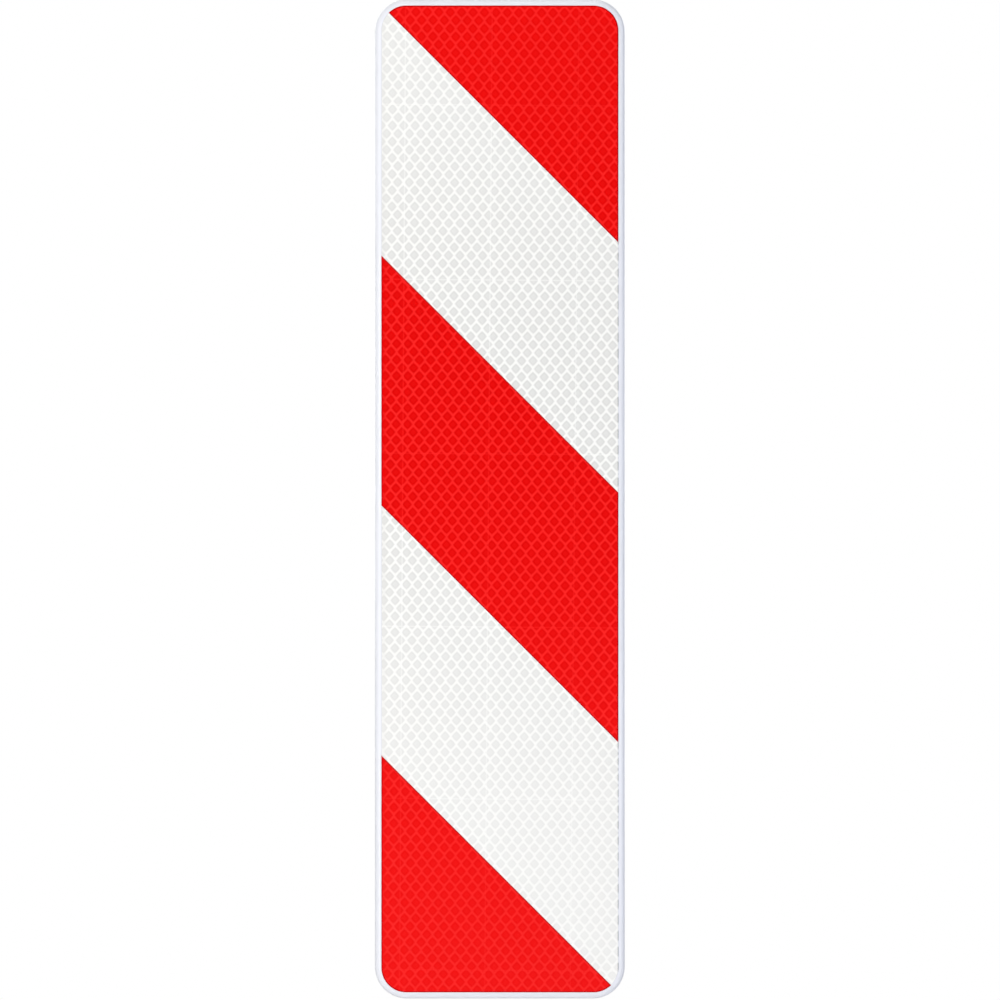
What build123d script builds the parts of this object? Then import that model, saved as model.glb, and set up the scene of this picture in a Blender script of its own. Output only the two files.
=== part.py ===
"""Guide beacon: a formed aluminium panel with striped reflective sheeting, on two rails with post clips.

Millimetres, +Z up. The face looks along -Y and X runs to the viewer's right. The origin is on the post's
axis, at the middle of the lower clip.
"""

from math import cos, radians, sqrt
import os

from build123d import *

# Panel
panel_width = 250.0
panel_height = 1000.0
panel_corner_radius = 32.0
panel_metal = 2.0
edge_bend_inner_radius = 4.0
flange_post_gap = 2.35

# Sheeting and stripes
sheeting_flat_margin = 0.5
sheeting_corner_tightening = 0.75
sheeting_thickness = 0.45
film_thickness = 0.1
stripe_height = 250.0
stripe_angle = 45.0

# Rails and the tape that bonds them
rail_inset = 200.0
rail_width = 28.0
rail_depth = 15.25
rail_wall = 2.25
rail_outer_round = 1.2
rail_inner_round = 0.6
rail_end_gap = 1.0
tape_thickness = 1.1
tape_inset = 1.5

# Post and straps
post_diameter = 60.3
strap_width = 30.0
strap_metal = 3.0
strap_bend_inner_radius = 3.0
strap_draw = 0.5
ear_overhang = 12.0
ear_corner_radius = 6.0
gusset_width = 7.0
gusset_depth = 2.0

# Hammer-head bolts, washers and lock nuts
bolt_diameter = 8.0
bolt_tail = 3.0
bolt_end_chamfer = 0.8
head_thickness = 4.5
head_end_gap = 0.75
head_slot_gap = 0.8
head_lip_gap = 0.1
head_corner_flat = 0.5
slot_side_gap = 2.0
ear_hole_clearance = 1.0
washer_rim = 3.8
washer_thickness = 1.6
washer_hole_clearance = 0.4
washer_gusset_gap = 0.8
nut_wall = 2.5
nut_hexagon_height = 6.0
nut_thread_clearance = 0.1
collar_step = 0.4
collar_height = 2.0

# Panel and rail places, from the post forward
post_radius = post_diameter / 2
rail_rear_y = -post_radius
rail_front_y = rail_rear_y - rail_depth
plate_rear_y = rail_front_y - tape_thickness
plate_front_y = plate_rear_y - panel_metal
sheeting_front_y = plate_front_y - sheeting_thickness
flange_rear_y = rail_rear_y - flange_post_gap
rail_spacing = panel_height - 2 * rail_inset
panel_centre_z = rail_spacing / 2

# Panel and rail sizes that follow
edge_bend_radius = edge_bend_inner_radius + panel_metal
sheeting_margin = edge_bend_radius + sheeting_flat_margin
sheeting_width = panel_width - 2 * sheeting_margin
sheeting_height = panel_height - 2 * sheeting_margin
sheeting_corner_radius = panel_corner_radius - sheeting_margin - sheeting_corner_tightening
rail_length = panel_width - 2 * (edge_bend_radius + rail_end_gap)
rail_slot = bolt_diameter + 2 * slot_side_gap
rail_cavity_width = rail_width - 2 * rail_wall
rail_cavity_depth = rail_depth - 2 * rail_wall

# Clip places, from the rail backward
head_rear_y = rail_rear_y - rail_wall - head_lip_gap
ear_front_y = rail_rear_y + strap_draw
ear_rear_y = ear_front_y + strap_metal
washer_rear_y = ear_rear_y + washer_thickness
collar_front_y = washer_rear_y + nut_hexagon_height
bolt_end_y = collar_front_y + collar_height + bolt_tail

# Clip sizes that follow: a bend's arc clears its corner by this share of its radius
bend_corner_share = sqrt(2) - 1
bend_outer_radius = strap_bend_inner_radius + strap_metal
gusset_reach = sqrt(2) * (bend_corner_share * strap_bend_inner_radius + gusset_depth)
gusset_dent_reach = sqrt(2) * (bend_corner_share * bend_outer_radius + gusset_depth)
washer_radius = (bolt_diameter + washer_hole_clearance) / 2 + washer_rim
nut_flat_radius = bolt_diameter / 2 + nut_wall
leg_outer_x = post_radius + strap_metal
bolt_x = leg_outer_x + gusset_reach + washer_gusset_gap + washer_radius
ear_end_x = bolt_x + ear_overhang

LEVELS = {"lower": 0.0, "upper": rail_spacing}
SIDES = {"left": -1, "right": 1}


def forward_plane(y, z):
    """Plane across the panel at depth y, centred at height z and facing the front."""
    return Plane(origin=(0, y, z), x_dir=(1, 0, 0), z_dir=(0, -1, 0))


def rearward_plane(x, y, z):
    """Plane square to a bolt's axis, facing the back of the panel."""
    return Plane(origin=(x, y, z), x_dir=(1, 0, 0), z_dir=(0, 1, 0))


def keep(piece, node):
    """Label a finished piece and write it as a node of its own."""
    piece.part.label = node
    export_step(piece.part, f"parts/{node}.step")


def make_panel_tray():
    """Plate with rounded corners, whose formed edge turns back all round, open behind."""
    with BuildPart() as panel_tray:
        with BuildSketch(forward_plane(flange_rear_y, panel_centre_z)):
            RectangleRounded(panel_width, panel_height, panel_corner_radius)
        extrude(amount=flange_rear_y - plate_front_y)
        fillet(panel_tray.faces().sort_by(Axis.Y)[0].edges(), edge_bend_radius)
        offset(amount=-panel_metal, openings=panel_tray.faces().sort_by(Axis.Y)[-1])
    keep(panel_tray, "panel_tray")


def make_reflective_sheet():
    """White sheeting on the flat of the plate, inside the formed edge."""
    with BuildPart() as reflective_sheet:
        with BuildSketch(forward_plane(plate_front_y, panel_centre_z)):
            RectangleRounded(sheeting_width, sheeting_height, sheeting_corner_radius)
        extrude(amount=sheeting_thickness)
    keep(reflective_sheet, "reflective_sheet")


def make_red_stripe(place, step):
    """Red film stripe that falls to the right, trimmed to the sheeting. Steps count two stripes each."""
    stripe_across = stripe_height * cos(radians(stripe_angle))
    stripe_along = panel_width + panel_height
    with BuildPart() as red_stripe:
        with BuildSketch(forward_plane(sheeting_front_y, panel_centre_z)):
            RectangleRounded(sheeting_width, sheeting_height, sheeting_corner_radius)
            with Locations((0, 2 * step * stripe_height)):
                Rectangle(stripe_along, stripe_across, rotation=-stripe_angle, mode=Mode.INTERSECT)
        extrude(amount=film_thickness)
    keep(red_stripe, f"red_stripe_{place}")


def make_rail(level, z):
    """Extruded C-rail across the back of the plate, with its slot open to the post."""
    with BuildPart() as rail:
        with BuildSketch(Plane(origin=(0, 0, z), x_dir=(0, 1, 0), z_dir=(1, 0, 0))):
            with Locations((rail_rear_y - rail_depth / 2, 0)):
                RectangleRounded(rail_depth, rail_width, rail_outer_round)
                RectangleRounded(rail_cavity_depth, rail_cavity_width, rail_inner_round, mode=Mode.SUBTRACT)
            with Locations((rail_rear_y, 0)):
                Rectangle(2 * rail_wall, rail_slot, mode=Mode.SUBTRACT)
        extrude(amount=rail_length / 2, both=True)
        lip_tops = rail.faces().filter_by(Axis.Z).group_by(lambda face: abs(face.center().Z - z))[0]
        fillet(lip_tops.edges().filter_by(Axis.X), min(rail_inner_round, rail_wall / 4))
    keep(rail, f"{level}_rail")


def make_rail_tape(level, z):
    """Foam tape between a rail and the plate, drawn in from the rail's edges."""
    with BuildPart() as rail_tape:
        with BuildSketch(forward_plane(rail_front_y, z)):
            Rectangle(rail_length - 2 * tape_inset, rail_width - 2 * tape_inset)
        extrude(amount=tape_thickness)
    keep(rail_tape, f"{level}_rail_tape")


def bend_corner(side, corner_x, corner_y, reach):
    """Corners of the right triangle that fills a bend, reaching equally along the ear and the leg."""
    return (
        (side * corner_x, corner_y),
        (side * (corner_x + reach), corner_y),
        (side * corner_x, corner_y + reach),
    )


def make_strap(level, z):
    """Bent steel strap round the post, with two ears and a gusset pressed into the bend at each ear."""
    with BuildPart() as strap:
        with BuildSketch(Plane.XY.offset(z)):
            with BuildLine():
                ear = Line((ear_end_x, ear_front_y), (post_radius + bend_outer_radius, ear_front_y))
                bend = JernArc(ear @ 1, ear % 1, bend_outer_radius, -90)
                leg = Line(bend @ 1, (post_radius, 0))
                saddle = JernArc(leg @ 1, leg % 1, post_radius, 180)
                far_leg = Line(saddle @ 1, (-post_radius, (bend @ 1).Y))
                far_bend = JernArc(far_leg @ 1, far_leg % 1, bend_outer_radius, -90)
                Line(far_bend @ 1, (-ear_end_x, ear_front_y))
                offset(amount=strap_metal, side=Side.RIGHT)
            make_face()
        extrude(amount=strap_width / 2, both=True)
        ear_ends = strap.faces().filter_by(Axis.X).group_by(lambda face: abs(face.center().X))[-1]
        fillet(ear_ends.edges().filter_by(Axis.Y), ear_corner_radius)
        with BuildSketch(forward_plane(ear_rear_y, z)):
            with Locations((-bolt_x, 0), (bolt_x, 0)):
                Circle((bolt_diameter + ear_hole_clearance) / 2)
        extrude(amount=strap_metal, mode=Mode.SUBTRACT)
        for side in SIDES.values():
            with BuildSketch(Plane.XY.offset(z)):
                Polygon(*bend_corner(side, leg_outer_x, ear_rear_y, gusset_reach), align=None)
            extrude(amount=gusset_width / 2, both=True)
            with BuildSketch(Plane.XY.offset(z)):
                Polygon(*bend_corner(side, post_radius, ear_front_y, gusset_dent_reach), align=None)
            extrude(amount=gusset_width / 2, both=True, mode=Mode.SUBTRACT)
    keep(strap, f"{level}_strap")


def make_bolt(level, side, x, z):
    """Hammer-head bolt, whose head lies across the rail's slot with two corners round, to turn in."""
    head_length = rail_cavity_width - 2 * head_end_gap
    head_width = rail_slot - 2 * head_slot_gap
    with BuildPart() as bolt:
        with BuildSketch(rearward_plane(x, head_rear_y - head_thickness, z)) as head:
            Rectangle(head_width, head_length)
            corners = head.vertices().sort_by(Axis((0, 0, 0), (1, 1, 0)))
            fillet([corners[0], corners[-1]], head_width / 2 - head_corner_flat)
        extrude(amount=head_thickness)
        with BuildSketch(rearward_plane(x, head_rear_y, z)):
            Circle(bolt_diameter / 2)
        extrude(amount=bolt_end_y - head_rear_y)
        chamfer(bolt.faces().sort_by(Axis.Y)[-1].edges(), bolt_end_chamfer)
    keep(bolt, f"{level}_bolt_{side}")


def make_washer(level, side, x, z):
    """Flat washer on the strap's ear."""
    with BuildPart() as washer:
        with BuildSketch(rearward_plane(x, ear_rear_y, z)):
            Circle(washer_radius)
            Circle((bolt_diameter + washer_hole_clearance) / 2, mode=Mode.SUBTRACT)
        extrude(amount=washer_thickness)
    keep(washer, f"{level}_washer_{side}")


def make_nut(level, side, x, z):
    """Lock nut: a hexagon with a round collar behind it, over the insert that grips the thread."""
    with BuildPart() as nut:
        with BuildSketch(rearward_plane(x, washer_rear_y, z)):
            RegularPolygon(nut_flat_radius, 6, major_radius=False)
        extrude(amount=nut_hexagon_height)
        with BuildSketch(rearward_plane(x, collar_front_y, z)):
            Circle(nut_flat_radius - collar_step)
        extrude(amount=collar_height)
        with BuildSketch(rearward_plane(x, washer_rear_y, z)):
            Circle((bolt_diameter + nut_thread_clearance) / 2)
        extrude(amount=nut_hexagon_height + collar_height, mode=Mode.SUBTRACT)
    keep(nut, f"{level}_nut_{side}")


os.makedirs("parts", exist_ok=True)

make_panel_tray()
make_reflective_sheet()
for place, step in {"bottom": -1, "middle": 0, "top": 1}.items():
    make_red_stripe(place, step)

for level, z in LEVELS.items():
    make_rail(level, z)
    make_rail_tape(level, z)
    make_strap(level, z)
    for side, sign in SIDES.items():
        for make_piece in (make_bolt, make_washer, make_nut):
            make_piece(level, side, sign * bolt_x, z)
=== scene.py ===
"""Looks of the guide beacon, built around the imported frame.

Metres, in the frame of the solids: the face looks along -Y, X runs to the viewer's right, Z is up, and the
origin is on the post's axis at the middle of the lower clip.
"""

from dataclasses import dataclass
from enum import Enum
import logging
import math
from typing import Any

import bpy
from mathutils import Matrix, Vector
import numpy as np
from numpy.typing import NDArray


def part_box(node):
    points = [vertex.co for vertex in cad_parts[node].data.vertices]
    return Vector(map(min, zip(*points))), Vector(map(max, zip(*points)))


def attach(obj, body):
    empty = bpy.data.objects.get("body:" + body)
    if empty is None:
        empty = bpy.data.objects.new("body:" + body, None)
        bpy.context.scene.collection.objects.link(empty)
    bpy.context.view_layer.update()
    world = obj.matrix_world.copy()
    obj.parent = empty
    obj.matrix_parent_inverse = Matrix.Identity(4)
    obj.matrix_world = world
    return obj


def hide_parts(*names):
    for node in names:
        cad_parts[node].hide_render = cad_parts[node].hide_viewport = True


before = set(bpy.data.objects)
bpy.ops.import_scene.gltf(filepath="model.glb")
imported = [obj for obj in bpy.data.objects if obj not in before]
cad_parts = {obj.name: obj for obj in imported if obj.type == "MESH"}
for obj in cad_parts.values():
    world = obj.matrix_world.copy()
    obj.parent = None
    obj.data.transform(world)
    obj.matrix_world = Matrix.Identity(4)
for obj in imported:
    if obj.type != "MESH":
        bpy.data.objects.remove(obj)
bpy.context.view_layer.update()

FloatArray = NDArray[np.float64]
Tree = bpy.types.NodeTree
Socket = bpy.types.NodeSocket
MM = 0.001
CREASE_DEG = 32.0
# A mix node's sockets for colours, by number, because its other kinds of sockets have the same names.
MIX_FROM, MIX_TO, MIX_OUT = 6, 7, 2
log = logging.getLogger("guide_beacon")


class Ends(Enum):
    """How the first and last rows of a skin are finished."""

    CAPPED = "one face closes each end"
    JOINED = "the last row runs on into the first"


class Level(Enum):
    """The two rails and clips, by the name that their nodes start with."""

    LOWER = "lower"
    UPPER = "upper"


class Side(Enum):
    """The two ends of a clip, by the name that their nodes end with."""

    LEFT = "left"
    RIGHT = "right"


def linear(hex_colour: str) -> tuple[float, float, float, float]:
    """Turn an sRGB hex colour to linear light.

    Args:
        hex_colour: the colour as #RRGGBB.

    Returns:
        Linear red, green, blue and an alpha of one.
    """
    shares = [int(hex_colour[i:i + 2], 16) / 255 for i in (1, 3, 5)]
    red, green, blue = (c / 12.92 if c <= 0.04045 else ((c + 0.055) / 1.055) ** 2.4 for c in shares)
    return red, green, blue, 1.0


def add_node(tree: Tree, kind: str, inputs: dict[Any, Any] | None = None, out: int | str = 0,
             **settings: Any) -> Socket | None:
    """Add a node with its settings and links.

    Args:
        tree: the node tree that takes it.
        kind: Blender's name of the node.
        inputs: what goes into each socket, by name or number: another node's output, or a value.
        out: the output that is wanted, by name or number.
        settings: the node's own properties.

    Returns:
        That output, or None from a node that ends its tree.
    """
    node = tree.nodes.new(kind)
    for name, value in settings.items():
        setattr(node, name, value)
    for socket, value in (inputs or {}).items():
        if isinstance(value, Socket):
            tree.links.new(value, node.inputs[socket])
        else:
            node.inputs[socket].default_value = value
    return node.outputs[out] if len(node.outputs) else None


def emptied(owner: bpy.types.Material | bpy.types.World) -> Tree:
    """The node tree of a material or world, with nothing in it yet."""
    owner.use_nodes = True
    owner.node_tree.nodes.clear()
    return owner.node_tree


def hang(name: str, data: bpy.types.ID) -> bpy.types.Object:
    """Put an object into the scene, at the origin."""
    thing = bpy.data.objects.new(name, data)
    bpy.context.scene.collection.objects.link(thing)
    return thing


def ease(value: FloatArray, low: float, high: float) -> FloatArray:
    """Rise smoothly from 0 at low to 1 at high: 3 t squared less 2 t cubed, with t held between 0 and 1."""
    t = np.clip((value - low) / (high - low), 0, 1)
    return t * t * (3 - 2 * t)


def arc(start: float, end: float, steps: int) -> FloatArray:
    """Angles in radians, evenly from start to end in degrees."""
    return np.radians(np.linspace(start, end, steps + 1))


def around(steps: int) -> FloatArray:
    """Angles in radians, evenly round a full turn, with the last one left to the first."""
    return arc(0, 360, steps)[:-1]


def spokes(angles: FloatArray) -> FloatArray:
    """Unit vectors at the angles, as rows of cos and sin."""
    return np.stack([np.cos(angles), np.sin(angles)], 1)


def rounded(corners: FloatArray, radii: FloatArray, steps: int) -> FloatArray:
    """Round the corners of a closed outline.

    Each corner gives way to an arc that leaves both sides at radius over tan(half the corner's angle) and
    turns about a centre on the corner's bisector, at radius over sin(half the angle).

    Args:
        corners: n corners in the plane, in order.
        radii: each corner's radius.
        steps: steps in each arc.

    Returns:
        The outline's points, n times (steps + 1) of them.
    """
    back = np.roll(corners, 1, axis=0) - corners
    ahead = np.roll(corners, -1, axis=0) - corners
    back /= np.linalg.norm(back, axis=1, keepdims=True)
    ahead /= np.linalg.norm(ahead, axis=1, keepdims=True)
    half = np.arccos(np.clip((back * ahead).sum(1), -1, 1))[:, None] / 2
    radius = np.asarray(radii, float)[:, None]
    bisector = (back + ahead) / np.linalg.norm(back + ahead, axis=1, keepdims=True)
    centre = corners + bisector * radius / np.sin(half)
    first = corners + back * radius / np.tan(half) - centre
    last = corners + ahead * radius / np.tan(half) - centre
    sweep = (math.pi - 2 * half)[:, :, None]
    t = np.linspace(0, 1, steps + 1)[None, :, None]
    swung = np.sin((1 - t) * sweep) * first[:, None] + np.sin(t * sweep) * last[:, None]
    return (centre[:, None] + swung / np.sin(sweep)).reshape(-1, 2)


def drawn_in(outline: FloatArray, inset: float) -> FloatArray:
    """Move a closed anticlockwise outline inwards, each point square to the line between its neighbours."""
    run = np.roll(outline, -1, axis=0) - np.roll(outline, 1, axis=0)
    run /= np.linalg.norm(run, axis=1, keepdims=True)
    return outline + inset * np.stack([-run[:, 1], run[:, 0]], axis=1)


def reach(outline: FloatArray, angles: FloatArray, least: float = 1e-9) -> FloatArray:
    """Distance from the origin to a convex anticlockwise outline in each direction.

    An edge whose outward normal n is at distance d stops a ray u at d / (n . u), and the nearest edge counts.

    Args:
        outline: the outline's points.
        angles: the directions, in radians.
        least: what counts as nothing, for an edge's length and for n . u.

    Returns:
        One distance for each angle.
    """
    run = np.roll(outline, -1, axis=0) - outline
    real = np.hypot(*run.T) > least
    outline, run = outline[real], run[real]
    normal = np.stack([run[:, 1], -run[:, 0]], axis=1) / np.linalg.norm(run, axis=1, keepdims=True)
    facing = normal @ spokes(angles).T
    stop = (normal * outline).sum(1)[:, None] / np.where(facing > least, facing, np.nan)
    return np.nanmin(stop, axis=0)


def turned(radius: FloatArray, depth: FloatArray, angles: FloatArray,
           axis: tuple[float, float]) -> FloatArray:
    """Carry a radius round an axis along Y: x = x0 + r cos(angle), z = z0 + r sin(angle), y = depth.

    Args:
        radius: rows of radii, with one column or a column for each angle.
        depth: the Y of each row, in one column.
        angles: the angles of the columns.
        axis: X and Z of the axis.

    Returns:
        A grid of points, rows by angles.
    """
    x = axis[0] + radius * np.cos(angles)
    z = axis[1] + radius * np.sin(angles)
    return np.stack([x, np.broadcast_to(depth, x.shape), z], -1)


def framed(low: Vector, high: Vector, corner: float, profile: FloatArray, steps: int) -> FloatArray:
    """Carry a profile round a rounded rectangle that stands in X and Z.

    With an inset d the path is the rectangle whose corner centres stay put and whose corner radius is the
    full one less d, so a point is: corner centre + (corner radius - d) (cos, sin), at the profile's depth.

    Args:
        low: lowest corner of the outline's box.
        high: highest corner of the outline's box.
        corner: the outline's corner radius.
        profile: rows of inset and depth Y.
        steps: steps in each rounded corner.

    Returns:
        A grid of points, profile rows by points of the path.
    """
    middle = ((low.x + high.x) / 2, (low.z + high.z) / 2)
    angles = np.concatenate([arc(90 * k, 90 * k + 90, steps) for k in range(4)])
    sign_x = np.repeat([1, -1, -1, 1], steps + 1)
    sign_z = np.repeat([1, 1, -1, -1], steps + 1)
    radius = corner - profile[:, :1]
    x = middle[0] + sign_x * ((high.x - low.x) / 2 - corner) + radius * np.cos(angles)
    z = middle[1] + sign_z * ((high.z - low.z) / 2 - corner) + radius * np.sin(angles)
    return np.stack([x, np.broadcast_to(profile[:, 1:], x.shape), z], -1)


def skin(name: str, points: FloatArray, ends: Ends, crease: float = CREASE_DEG) -> bpy.types.Mesh:
    """Make a closed mesh from a grid of points whose columns run on into the first column.

    Neighbouring rows and columns are joined by quads. The mesh is turned outwards by the sign of its volume,
    a sixth of the sum of a . (b x c) over its triangles.

    Args:
        name: name of the mesh, and of the piece that it becomes.
        points: the grid, rows by columns by three.
        ends: how the first and last rows are finished.
        crease: edges that turn by more degrees than this stay sharp.

    Returns:
        The mesh, shaded smooth between its creases.
    """
    index = np.arange(points.shape[0] * points.shape[1]).reshape(points.shape[:2])
    here = index if ends is Ends.JOINED else index[:-1]
    above = np.roll(index, -1, axis=0) if ends is Ends.JOINED else index[1:]
    quads = np.stack([here, np.roll(here, -1, axis=1), np.roll(above, -1, axis=1), above], -1)
    faces = quads.reshape(-1, 4).tolist()
    if ends is Ends.CAPPED:
        faces += [index[0, ::-1].tolist(), index[-1].tolist()]
    mesh = bpy.data.meshes.new(name)
    mesh.from_pydata(points.reshape(-1, 3).tolist(), [], faces)
    mesh.calc_loop_triangles()
    corner = np.empty(3 * len(mesh.loop_triangles), np.int32)
    mesh.loop_triangles.foreach_get("vertices", corner)
    a, b, c = np.moveaxis(points.reshape(-1, 3)[corner.reshape(-1, 3)], 1, 0)
    if (a * np.cross(b, c)).sum() < 0:
        mesh.flip_normals()
    mesh.shade_smooth()
    mesh.set_sharp_from_angle(angle=math.radians(crease))
    return mesh


@dataclass(frozen=True)
class Finish:
    """A surface finish: one material, named for what it is made of."""

    name: str

    def channels(self, tree: Tree, place: Socket) -> dict[str, Any]:
        """Add the nodes of the finish.

        Args:
            tree: the material's nodes.
            place: where a point lies on the object, in metres.

        Returns:
            What goes into the shader's sockets, as values or as outputs of nodes.
        """
        raise NotImplementedError

    def material(self) -> bpy.types.Material:
        """The finish as a material, made once."""
        made = bpy.data.materials.get(self.name)
        if made is None:
            made = bpy.data.materials.new(self.name)
            tree = emptied(made)
            place = add_node(tree, "ShaderNodeTexCoord", out="Object")
            shader = add_node(tree, "ShaderNodeBsdfPrincipled", self.channels(tree, place))
            add_node(tree, "ShaderNodeOutputMaterial", {"Surface": shader})
        return made


@dataclass(frozen=True)
class Patterned(Finish):
    """A finish whose tone, bump and gloss follow patterns.

    The tone runs from shade to colour and the roughness over the gloss. The bump has a strength and a height.
    """

    shade: str
    colour: str
    gloss: tuple[float, float]
    bump: float
    bump_mm: float

    def follow(self, tree: Tree, tone: Socket, relief: Socket, shine: Socket | None = None,
               span: tuple[float, float] = (0.0, 1.0)) -> dict[str, Any]:
        """Let tone, bump and gloss follow a pattern each.

        Args:
            tree: the material's nodes.
            tone: the pattern of the tone.
            relief: the pattern of the bump.
            shine: the pattern of the roughness, which without one is the same all over, the gloss's first.
            span: the values of that pattern at the two ends of the gloss.

        Returns:
            What goes into the shader's sockets.
        """
        mixed = add_node(tree, "ShaderNodeMix", {
            0: tone, MIX_FROM: linear(self.shade), MIX_TO: linear(self.colour)}, MIX_OUT, data_type="RGBA")
        raised = add_node(tree, "ShaderNodeBump", {
            "Height": relief, "Strength": self.bump, "Distance": self.bump_mm * MM})
        rough = self.gloss[0] if shine is None else add_node(tree, "ShaderNodeMapRange", {
            "Value": shine, "From Min": span[0], "From Max": span[1],
            "To Min": self.gloss[0], "To Max": self.gloss[1]})
        return {"Base Color": mixed, "Normal": raised, "Roughness": rough}


@dataclass(frozen=True)
class PowderCoat(Patterned):
    """White polyester powder coat, sprayed and baked.

    The eye sees a clean cool white with a low even gloss and the faint orange peel of the melted powder.
    """

    name: str = "white_powder_coat"
    shade: str = "#EDEEF3"
    colour: str = "#F0F1F5"
    gloss: tuple[float, float] = (0.3, 0.36)
    bump: float = 0.35
    bump_mm: float = 0.03
    cloud_mm: float = 70.0
    peel_mm: float = 2.2

    def channels(self, tree: Tree, place: Socket) -> dict[str, Any]:
        """Slow clouds in tone and gloss, and a fine bump. Real peel is near 1 mm: drawn coarser, to show."""
        cloud, peel = (
            add_node(tree, "ShaderNodeTexNoise", {"Vector": place, "Scale": 1 / (size * MM), "Detail": 1.0})
            for size in (self.cloud_mm, self.peel_mm))
        return self.follow(tree, cloud, peel, cloud)


@dataclass(frozen=True)
class MillAluminium(Patterned):
    """Extruded aluminium as it leaves the die, with no coat.

    The eye sees a pale soft metal, drawn into fine streaks along the rail, with a dull broad sheen.
    """

    name: str = "mill_finish_aluminium"
    shade: str = "#C6C8CC"
    colour: str = "#DDDEE0"
    gloss: tuple[float, float] = (0.3, 0.46)
    gloss_span: tuple[float, float] = (0.3, 0.7)
    bump: float = 0.4
    bump_mm: float = 0.02
    streak_mm: tuple[float, float] = (90.0, 0.7)

    def channels(self, tree: Tree, place: Socket) -> dict[str, Any]:
        """Noise stretched along X for die lines. Real ones are near 0.1 mm wide: drawn coarser, to show."""
        long, fine = (1 / (size * MM) for size in self.streak_mm)
        drawn = add_node(tree, "ShaderNodeVectorMath", {0: place, 1: (long, fine, fine)},
                         operation="MULTIPLY")
        streak = add_node(tree, "ShaderNodeTexNoise", {
            "Vector": drawn, "Scale": 1.0, "Detail": 4.0, "Roughness": 0.65})
        return {**self.follow(tree, streak, streak, streak, self.gloss_span), "Metallic": 1.0}


@dataclass(frozen=True)
class GalvanisedSteel(Patterned):
    """Hot-dip galvanised steel strip.

    The eye sees a blue-grey metal in patches of frozen zinc, each a little brighter or duller than the next.
    """

    name: str = "galvanised_steel"
    shade: str = "#A9B0B7"
    colour: str = "#D2D6DB"
    gloss: tuple[float, float] = (0.3, 0.52)
    bump: float = 0.3
    bump_mm: float = 0.03
    spangle_mm: float = 6.5
    grain_mm: float = 0.9
    drift_mm: float = 0.8

    def channels(self, tree: Tree, place: Socket) -> dict[str, Any]:
        """One random tone and gloss for each spangle, bent by a little noise, and a fine grain over them."""
        grain = add_node(tree, "ShaderNodeTexNoise", {
            "Vector": place, "Scale": 1 / (self.grain_mm * MM), "Detail": 3.0})
        drift = add_node(tree, "ShaderNodeVectorMath", {
            0: grain.node.outputs["Color"], 1: (self.drift_mm * MM,) * 3}, operation="MULTIPLY")
        moved = add_node(tree, "ShaderNodeVectorMath", {0: place, 1: drift}, operation="ADD")
        spangle = add_node(tree, "ShaderNodeTexVoronoi", {
            "Vector": moved, "Scale": 1 / (self.spangle_mm * MM)}, "Color")
        tone, shine = (add_node(tree, "ShaderNodeSeparateColor", {0: spangle}, out) for out in (0, 1))
        mixed = add_node(tree, "ShaderNodeMath", {0: tone, 1: grain}, operation="MULTIPLY")
        return {**self.follow(tree, mixed, grain, shine), "Metallic": 1.0}


@dataclass(frozen=True)
class StainlessSteel(Patterned):
    """Cold-formed stainless steel fasteners, pickled after forming.

    The eye sees a slightly warm grey metal with a satin gleam and faint handling marks.
    """

    name: str = "stainless_steel"
    shade: str = "#B1B0AE"
    colour: str = "#CFCECC"
    gloss: tuple[float, float] = (0.28, 0.42)
    gloss_span: tuple[float, float] = (0.3, 0.7)
    bump: float = 0.2
    bump_mm: float = 0.01
    mark_mm: float = 1.6

    def channels(self, tree: Tree, place: Socket) -> dict[str, Any]:
        """Fine marks in tone and gloss, with a bump too shallow to change the outline."""
        mark = add_node(tree, "ShaderNodeTexNoise", {
            "Vector": place, "Scale": 1 / (self.mark_mm * MM), "Detail": 4.0, "Roughness": 0.6})
        return {**self.follow(tree, mark, mark, mark, self.gloss_span), "Metallic": 1.0}


@dataclass(frozen=True)
class FoamTape(Patterned):
    """Closed-cell acrylic foam tape, slit from a roll.

    The eye sees a dark grey matte edge with fine open cells where the knife went through.
    """

    name: str = "acrylic_foam"
    shade: str = "#242527"
    colour: str = "#3A3B3E"
    gloss: tuple[float, float] = (0.85, 0.85)
    bump: float = 0.5
    bump_mm: float = 0.1
    cell_mm: float = 0.35

    def channels(self, tree: Tree, place: Socket) -> dict[str, Any]:
        """Small round cells as pits in the cut edge, their middles darkened by painted shade."""
        cells = add_node(tree, "ShaderNodeTexVoronoi", {
            "Vector": place, "Scale": 1 / (self.cell_mm * MM)}, "Distance")
        return self.follow(tree, cells, cells)


@dataclass(frozen=True)
class Nylon(Patterned):
    """Moulded natural nylon, the ring that grips the thread.

    The eye sees a milky, slightly warm white that lets a little light in.
    """

    name: str = "natural_nylon"
    shade: str = "#DAD5C6"
    colour: str = "#ECE8DC"
    gloss: tuple[float, float] = (0.42, 0.42)
    bump: float = 0.1
    bump_mm: float = 0.05
    cloud_mm: float = 3.0
    ior: float = 1.53
    light_in: float = 0.15
    light_in_mm: float = 0.5

    def channels(self, tree: Tree, place: Socket) -> dict[str, Any]:
        """Soft clouds in tone, as moulded nylon takes up moisture unevenly."""
        cloud = add_node(tree, "ShaderNodeTexNoise", {
            "Vector": place, "Scale": 1 / (self.cloud_mm * MM), "Detail": 2.0})
        return {**self.follow(tree, cloud, cloud), "IOR": self.ior, "Subsurface Weight": self.light_in,
                "Subsurface Scale": self.light_in_mm * MM}


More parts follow.
